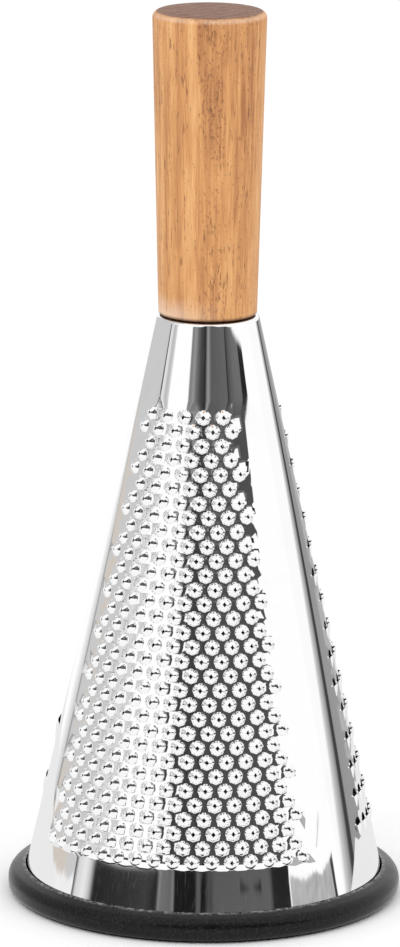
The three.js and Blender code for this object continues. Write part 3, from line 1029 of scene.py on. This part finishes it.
def bladePatch():
    across, down = blade["across"], blade["down"]
    points, left, right = [], [], []
    for row in range(down + 1):
        share = row / down
        halfWidth = blade["halfWidth"] * (1 - blade["footNarrowing"] * share ** 3)
        left.append(len(points))
        for k in range(across + 1):
            u = math.sin(0.5 * math.pi * (2 * k / across - 1))
            crown = 1 - abs(u) ** blade["crown"]
            lean = blade["lean"] * crown * (1 - share) ** 2
            bulge = crown * (1 - share ** blade["fall"])
            points.append((u * halfWidth, lean - blade["length"] * share, blade["rise"] * bulge))
        right.append(len(points) - 1)
    foot = list(range(left[-1] + 1, right[-1]))
    faces = rowFaces(down, across)
    outline = mouthOutline(points, left, foot, right, blade)
    return points, faces, outline, patchNormals(points, faces, outline)


# outline in the sheet: down the left side, along the foot, up the right side and back over the mouth
def mouthOutline(points, left, foot, right, sizes):
    steps = sizes["across"]
    outline = left + foot + right[::-1]
    for k in range(1, steps):
        sine, cosine = math.sin(math.pi * k / steps), math.cos(math.pi * k / steps)
        x = math.copysign(abs(cosine) ** sizes["mouthSides"], cosine)
        outline.append(len(points))
        points.append((sizes["halfWidth"] * x, sizes["mouth"] * sine ** sizes["mouthTop"], 0.0))
    return outline


def patchNormals(points, faces, outline):
    places = np.array(points)
    normals = np.zeros_like(places)
    for face in faces:
        corners = places[list(face)]
        turned = np.cross(corners, np.roll(corners, -1, axis=0)).sum(axis=0)
        normals[list(face)] += turned
    normals[outline] = (0, 0, 1)
    return normals / np.linalg.norm(normals, axis=1)[:, None]


def insideOutline(x, y, corners):
    inside = False
    for (xa, ya), (xb, yb) in zip(corners, corners[1:] + corners[:1]):
        if (ya > y) != (yb > y) and x < (xb - xa) * (y - ya) / (yb - ya) + xa:
            inside = not inside
    return inside


def insideShape(slant, turn, shape):
    shapeSlant, shapeTurn, corners, _ = shape
    x, y = (turn - shapeTurn) * shapeSlant * sinSlope, shapeSlant - slant
    across, up = coneSheet["shapeReach"]
    return abs(x) < across and abs(y) < up and insideOutline(x, y, corners)


def flatPlace(slant, turn):
    fold = (turn - coneSheet["seam"] * degree + math.pi) * sinSlope
    return np.column_stack([slant * np.sin(fold), -slant * np.cos(fold)])


class RolledSheet:
    # points as radius, height, turn about the axis, normal and wall, and the sheet before it is rolled
    def __init__(self):
        self.rows = []
        self.count = 0
        self.faces = []
        self.flat = []
        self.flatIds = []
        self.flatOwners = []        # the punched shape that a point belongs to, or -1
        self.flatCount = 0
        self.flatEdges = []

    def add(self, radius, z, turn, normal, wall):
        columns = (radius, z, turn, *normal, wall)
        block = np.column_stack([np.broadcast_to(column, np.shape(turn)) for column in columns])
        self.rows.append(block)
        first = self.count
        self.count += len(block)
        return np.arange(first, self.count)

    def addOnCone(self, slant, turn, height=0.0, normal=(0.0, 0.0, 1.0), wall=coneSheet["wall"]):
        aside, up, out = normal
        radius = slant * sinSlope + height * cosSlope
        z = apexZ - slant * cosSlope + height * sinSlope
        tilted = (aside, out * cosSlope - up * sinSlope, out * sinSlope + up * cosSlope)
        return self.add(radius, z, turn, tilted, wall)

    def layFlat(self, slant, turn, index, owner=-1):
        first = self.flatCount
        self.flat.append(flatPlace(slant, turn))
        self.flatIds.append(index)
        self.flatOwners.append(np.full(len(index), owner))
        self.flatCount += len(index)
        return list(range(first, self.flatCount))

    def joinUp(self, loop):
        self.flatEdges.extend(zip(loop, loop[1:] + loop[:1]))


# down the seam, along the foot, up the seam again and back along the top
def layRim(sheet, slants, turns):
    seam = np.full(len(slants), turns[0])
    foot = np.full(len(turns) - 1, slants[-1])
    top = np.full(len(turns) - 1, slants[0])
    seamIds = sheet.addOnCone(slants, seam)
    footIds = sheet.addOnCone(foot, turns[1:])
    topIds = sheet.addOnCone(top, turns[1:])
    rim = sheet.layFlat(slants, seam, seamIds)
    rim += sheet.layFlat(foot, turns[1:], footIds)
    rim += sheet.layFlat(slants[::-1], seam + 2 * math.pi, seamIds[::-1])
    rim += sheet.layFlat(top, turns[:0:-1], topIds[::-1])
    sheet.joinUp(rim)
    return np.concatenate([seamIds[:1], topIds])


# punched shapes, each copied to its places
def punchShapes(sheet):
    shapes = []
    for (points, faces, outline, normals), spots in (
        (fineToothPatch(), zoneSpots(fineZone)),
        (scoopPatch(), zoneSpots(coarseZone)),
        (bladePatch(), bladeSpots()),
    ):
        places = np.array(points) * mm
        walls = np.full(len(points), coneSheet["toothWall"])
        walls[outline] = coneSheet["wall"]
        corners = [tuple(places[k, :2]) for k in outline]
        for slant, turn in spots:
            slants = slant - places[:, 1]
            turns = turn + places[:, 0] / (slant * sinSlope)
            index = sheet.addOnCone(slants, turns, places[:, 2], normals.T, walls)
            sheet.faces += [tuple(index[k] for k in face) for face in faces]
            loop = sheet.layFlat(slants[outline], turns[outline], index[outline], len(shapes))
            sheet.joinUp(loop)
            shapes.append((slant, turn, corners, sheet.flat[-1]))
    return shapes


# points between the shapes, so that the sheet rolls round smoothly
def fillBetween(sheet, shapes, slants, turns):
    outlines = np.vstack([flatOutline for *_, flatOutline in shapes])
    for row in range(1, len(slants) - 1):
        rowTurns = turns + math.pi / len(turns) if row % 2 else turns[1:]
        along = np.full(len(rowTurns), slants[row])
        apart = flatPlace(along, rowTurns)[:, None, :] - outlines[None, :, :]
        keep = np.sqrt((apart ** 2).sum(axis=2)).min(axis=1) > coneSheet["clearOfShapes"]
        for k in np.nonzero(keep)[0]:
            keep[k] = not any(insideShape(slants[row], rowTurns[k], shape) for shape in shapes)
        if keep.any():
            index = sheet.addOnCone(along[keep], rowTurns[keep])
            sheet.layFlat(along[keep], rowTurns[keep], index)


# faces of the sheet round the shapes
def joinFlat(sheet, shapes):
    flat = np.vstack(sheet.flat)
    ids = np.concatenate(sheet.flatIds)
    owners = np.concatenate(sheet.flatOwners)
    made = delaunay_2d_cdt([Vector(p) for p in flat], sheet.flatEdges, [], 1, 1e-8)
    source = [origins[0] for origins in made[3]]
    for face in made[2]:
        corners = [source[k] for k in face]
        owner = owners[corners[0]]
        if owner >= 0 and all(owners[k] == owner for k in corners):
            x, y = flat[corners].mean(axis=0)
            turn = math.atan2(x, -y) / sinSlope + coneSheet["seam"] * degree - math.pi
            if insideShape(math.hypot(x, y), turn, shapes[owner]):
                continue
        a, b, c = (flat[k] for k in corners)
        if (b[0] - a[0]) * (c[1] - a[1]) < (b[1] - a[1]) * (c[0] - a[0]):
            corners.reverse()
        sheet.faces.append(tuple(int(ids[k]) for k in corners))


# rounded shoulder and the flange turned in under the handle
def turnShoulder(sheet, below, turns, bendRadius):
    bend, top, hole = coneSheet["shoulderRound"], coneSheet["topZ"], coneSheet["flangeHole"]
    section = []
    for t in np.linspace(slope, math.pi / 2, coneSheet["shoulderSteps"] + 1)[1:]:
        outward, up = math.cos(t), math.sin(t)
        section.append((bendRadius + bend * outward, top - bend + bend * up, outward, up))
    section += [((bendRadius + hole) / 2, top, 0.0, 1.0), (hole, top, 0.0, 1.0)]
    for radius, z, outward, up in section:
        ring = sheet.add(radius, z, turns, (0.0, outward, up), coneSheet["wall"])
        for k in range(len(turns)):
            n = (k + 1) % len(turns)
            sheet.faces.append((below[k], below[n], ring[n], ring[k]))
        below = ring


def punchAndRoll(name):
    steps = coneSheet["roundSteps"]
    turns = coneSheet["seam"] * degree - 2 * math.pi + 2 * math.pi * np.arange(steps) / steps
    bend = coneSheet["shoulderRound"]
    bendRadius = coneSheet["topRadius"] - bend * math.tan((math.pi / 2 - slope) / 2)
    sheetTop = (bendRadius + bend * cosSlope) / sinSlope
    rowCount = round((footSlant - sheetTop) / coneSheet["slantStep"])
    slants = np.linspace(sheetTop, footSlant, rowCount + 1)
    sheet = RolledSheet()
    topRing = layRim(sheet, slants, turns)
    shapes = punchShapes(sheet)
    fillBetween(sheet, shapes, slants, turns)
    joinFlat(sheet, shapes)
    print("sheet punched:", len(shapes), "shapes,", len(sheet.faces), "faces")
    turnShoulder(sheet, topRing, turns, bendRadius)
    return closeSheet(name, sheet)


# second face inside the first, and the cut edges between them
def closeSheet(name, sheet):
    table = np.vstack(sheet.rows)
    radius, z, turn, aside, outward, up, wall = table.T
    length = np.sqrt(aside ** 2 + outward ** 2 + up ** 2)
    aside, outward, up = aside / length, outward / length, up / length
    places = []
    for depth in (np.zeros_like(wall), wall):
        r = radius - depth * outward
        t = turn - depth * aside / radius
        places.append(np.column_stack([r * np.sin(t), -r * np.cos(t), z - depth * up]))
    places = np.vstack(places)
    sine, cosine = np.sin(turn), np.cos(turn)
    normal = np.column_stack([aside * cosine + outward * sine, aside * sine - outward * cosine, up])
    count = len(table)
    outer = [tuple(int(k) for k in face) for face in sheet.faces]
    inner = [tuple(k + count for k in reversed(face)) for face in outer]
    ways = {(a, b) for face in outer for a, b in zip(face, face[1:] + face[:1])}
    cut = [(b, a, a + count, b + count) for a, b in ways if (b, a) not in ways]
    cut.sort()
    mesh = bpy.data.meshes.new(name)
    mesh.from_pydata(places.tolist(), [], outer + inner + cut)
    mesh.polygons.foreach_set("use_smooth", np.ones(len(mesh.polygons), bool))
    finish = np.zeros(len(mesh.polygons), np.int32)
    finish[len(outer):len(outer) + len(inner)] = 1
    mesh.polygons.foreach_set("material_index", finish)
    loopNormals = []
    for face in outer:
        loopNormals += [normal[k] for k in face]
    for face in inner:
        loopNormals += [-normal[k - count] for k in face]
    for face in cut:
        a, b, c = (places[k] for k in face[:3])
        across = np.cross(b - a, c - b)
        loopNormals += [across / np.linalg.norm(across)] * 4
    mesh.normals_split_custom_set([tuple(n) for n in loopNormals])
    piece = bpy.data.objects.new(name, mesh)
    scene.collection.objects.link(piece)
    print(name, len(mesh.polygons), "faces,", len(cut), "along cut edges")
    return piece


# foot ring
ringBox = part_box("base_ring")
footRing = {
    "outer": ringBox[1].x,
    "inner": 46.0 * mm,
    "height": ringBox[1].z,
    "fall": 20.0,
    "edgeRound": 3.2 * mm,
    "footRound": 2.6 * mm,
    "footChamfer": 0.3 * mm,
    "floor": 2.2 * mm,
    "innerHeight": 7.0 * mm,
    "innerRound": 1.2 * mm,
    "lipWidth": 0.45 * mm,
    "lipRound": (0.14 * mm, 0.09 * mm),
    "lipDepth": 0.4 * mm,
    "clearance": 0.3 * mm,
    "steps": 160,
}


def coneRadiusAt(z):
    return (apexZ - z) * math.tan(slope)


def makeFootRing():
    size = footRing
    height, inner, chamfer = size["height"], size["inner"], size["footChamfer"]
    fall = size["fall"] * degree
    outside = size["clearance"] / cosSlope
    inside = (coneSheet["wall"] + size["clearance"]) / cosSlope
    lip = coneRadiusAt(height) + outside
    edge = size["outer"] - size["edgeRound"]
    edgeTop = height - (edge - lip) * math.tan(fall)
    edgeCentre = (edge, edgeTop - size["edgeRound"] / math.cos(fall))
    footCentre = (size["outer"] - size["footRound"], size["footRound"])
    innerCentre = (inner + size["innerRound"], size["innerHeight"] - size["innerRound"])
    outline = [(inner, chamfer), (inner + chamfer, 0.0)]
    outline += arcPoints(footCentre, size["footRound"], -90, 0, 8)
    outline += arcPoints(edgeCentre, size["edgeRound"], 0, 90 - size["fall"], 12)
    # soft lip beside the steel
    roundAcross, roundDown = size["lipRound"]
    outline += [(lip + size["lipWidth"], height - size["lipWidth"] * math.tan(fall))]
    outline += [(lip + roundAcross, height - roundDown)]
    # groove that the cone's edge stands in
    for z, across in (
        (height - size["lipDepth"], outside), (size["floor"], outside),
        (size["floor"], -inside), (size["innerHeight"], -inside),
    ):
        outline.append((coneRadiusAt(z) + across, z))
    outline += arcPoints(innerCentre, size["innerRound"], 90, 180, 5)
    outline += [outline[0]]
    return turnPiece("footRing", outline, size["steps"], True)


# wooden handle
handleLow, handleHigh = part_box("handle")
handleSizes = {
    "footZ": handleLow.z,
    "topZ": handleHigh.z,
    "footRadius": 13.7 * mm,
    "topRadius": handleHigh.x,
    "topRound": 2.0 * mm,
    "footRound": 0.8 * mm,
    "holeRadius": 2.7 * mm,
    "holeTipShare": 0.08,
    "holeTop": 203.3 * mm,
    "pointLength": 6.0 * mm,
    # shares of the top's radius, and how high its slight crown is there
    "crown": [(0.5, 0.05 * mm), (0.06, 0.07 * mm)],
    "steps": 128,
    "rings": 12,
}


def makeHandle():
    size = handleSizes
    length = size["topZ"] - size["footZ"]
    lean = math.atan((size["topRadius"] - size["footRadius"]) / length)
    footTangent = size["footRound"] * math.tan((math.pi / 2 + lean) / 2)
    topTangent = size["topRound"] * math.tan((math.pi / 2 - lean) / 2)
    footCentre = (size["footRadius"] - footTangent, size["footZ"] + size["footRound"])
    topCentre = (size["topRadius"] - topTangent, size["topZ"] - size["topRound"])
    outline = [(size["holeRadius"] * size["holeTipShare"], size["holeTop"])]
    outline += [(size["holeRadius"], size["holeTop"] - size["pointLength"])]
    outline += [(size["holeRadius"], size["footZ"])]
    outline += arcPoints(footCentre, size["footRound"], -90, -lean / degree, 6)
    top = arcPoints(topCentre, size["topRound"], -lean / degree, 90, 10)
    start, end = outline[-1], top[0]
    for k in range(1, size["rings"]):
        share = k / size["rings"]
        outline.append(tuple(a + (b - a) * share for a, b in zip(start, end)))
    outline += top
    outline += [(size["topRadius"] * share, size["topZ"] + rise) for share, rise in size["crown"]]
    return turnPiece("turnedHandle", outline, size["steps"])


# fastening inside the cone
plateLow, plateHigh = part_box("clamp_plate")
washerLow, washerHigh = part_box("screw_washer")
screwLow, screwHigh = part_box("handle_screw")
fastening = {
    "holeRadius": 2.7 * mm,
    "edgeRound": 0.3 * mm,
    "steps": 96,
}
woodScrew = {
    "radius": 2.4 * mm,
    "coreRadius": 1.75 * mm,
    "headRadius": 4.6 * mm,
    "headHeight": 3.0 * mm,
    "headRound": 1.4 * mm,
    "headEdge": 0.15 * mm,
    "pointLength": 6.0 * mm,
    "threadPitch": 1.9 * mm,
    "threadLength": 27.0 * mm,
    "threadHalf": 0.42 * mm,
    "threadSteps": 24,       # a winding
    "threadEnds": 0.4 * mm,
    # how far below the thread the shank ends and the core begins
    "shankEnd": 4.0 * mm,
    "coreStart": 3.0 * mm,
    "recessSpan": 4.8 * mm,
    "recessWidth": 1.1 * mm,
    "recessDepth": 1.7 * mm,
    "steps": 48,
}


def makeDisc(name, low, high):
    hole, outer, edge = fastening["holeRadius"], high.x, fastening["edgeRound"]
    outline = [(hole, low.z)]
    outline += arcPoints((outer - edge, low.z + edge), edge, -90, 0, 4)
    outline += arcPoints((outer - edge, high.z - edge), edge, 0, 90, 4)
    outline += [(hole, high.z), (hole, low.z)]
    return turnPiece(name, outline, fastening["steps"], True)


# cross recess, cut with two crossed bars
def cutRecess(screw, bottom):
    clearSelection()
    size = (woodScrew["recessSpan"], woodScrew["recessWidth"], 2 * woodScrew["recessDepth"])
    bars = []
    for turn in (0, math.pi / 2):
        bpy.ops.mesh.primitive_cube_add(size=1, location=(0, 0, bottom), rotation=(0, 0, turn))
        bar = bpy.context.object
        bar.scale = size
        bpy.ops.object.transform_apply(location=True, rotation=True, scale=True)
        bars.append(bar)
    for bar in bars:
        cutter = screw.modifiers.new("recess", "BOOLEAN")
        cutter.operation = "DIFFERENCE"
        cutter.object = bar
        cutter.solver = "EXACT"
        bpy.context.view_layer.objects.active = screw
        bpy.ops.object.modifier_apply(modifier=cutter.name)
    for bar in bars:
        bpy.data.objects.remove(bar)


# three-cornered ridge wound round the core
def windThread(tip):
    size = woodScrew
    length, half = size["threadLength"], size["threadHalf"]
    ridge = size["radius"] - size["coreRadius"]
    count = int(length / size["threadPitch"] * size["threadSteps"])
    points, faces = [], []
    for k in range(count + 1):
        share = k / count
        z = tip - length + length * share - size["threadEnds"]
        core = size["coreRadius"] * min(1.0, max(0.04, (tip - z) / size["pointLength"])) * 0.96
        fade = min(1.0, 8 * share, 12 * (1 - share))
        crest = core + ridge * fade + 0.02 * mm
        turn = 2 * math.pi * k / size["threadSteps"]
        for r, dz in ((core, -half), (crest, 0.0), (core, half)):
            points.append((r * math.cos(turn), r * math.sin(turn), z + dz * (0.2 + 0.8 * fade)))
    for k in range(count):
        a = 3 * k
        faces += [(a, a + 3, a + 4, a + 1), (a + 1, a + 4, a + 5, a + 2), (a + 2, a + 5, a + 3, a)]
    faces += [(0, 1, 2), (3 * count + 2, 3 * count + 1, 3 * count)]
    mesh = bpy.data.meshes.new("thread")
    mesh.from_pydata(points, [], faces)
    thread = bpy.data.objects.new("thread", mesh)
    scene.collection.objects.link(thread)
    return thread


def makeScrew():
    size = woodScrew
    bottom, tip = screwLow.z, screwHigh.z
    headTop = bottom + size["headHeight"]
    threadFoot = tip - size["threadLength"]
    centre = (size["headRadius"] - size["headRound"], bottom + size["headRound"])
    outline = [(0.2 * mm, bottom)]
    outline += arcPoints(centre, size["headRound"], -90, 0, 6)
    outline += [(size["headRadius"], headTop - size["headEdge"])]
    outline += [(size["headRadius"] - size["headEdge"], headTop)]
    outline += [(size["radius"], headTop), (size["radius"], threadFoot - size["shankEnd"])]
    outline += [(size["coreRadius"], threadFoot - size["coreStart"])]
    outline += [(size["coreRadius"], tip - size["pointLength"]), (0.12 * mm, tip)]
    screw = turnPiece("woodScrew", outline, size["steps"])
    cutRecess(screw, bottom)
    thread = windThread(tip)
    clearSelection()
    thread.select_set(True)
    screw.select_set(True)
    bpy.context.view_layer.objects.active = screw
    bpy.ops.object.join()
    bpy.ops.object.mode_set(mode="EDIT")
    bpy.ops.mesh.select_all(action="SELECT")
    bpy.ops.mesh.normals_make_consistent(inside=False)
    bpy.ops.object.mode_set(mode="OBJECT")
    bpy.ops.object.shade_smooth_by_angle(angle=35 * degree)
    return screw


def finishPiece(piece, materials, node):
    piece.data.materials.clear()
    for material in materials:
        piece.data.materials.append(material)
    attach(piece, "root")
    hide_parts(node)
    print(piece.name, "stands for", node)


addCamera()
addWorld()
addDrum()
addStudio()

polished = makePolishedSteel()
inside = makeInsideSteel()
zinc = makeZinc()

finishPiece(punchAndRoll("punchedCone"), [polished, inside], "grater_cone")
finishPiece(makeHandle(), [makeHandleWood(handleLow.z, handleHigh.z)], "handle")
finishPiece(makeFootRing(), [makeRubber(footRing["height"])], "base_ring")
finishPiece(makeDisc("clampPlate", plateLow, plateHigh), [inside], "clamp_plate")
finishPiece(makeDisc("screwWasher", washerLow, washerHigh), [zinc], "screw_washer")
finishPiece(makeScrew(), [zinc], "handle_screw")
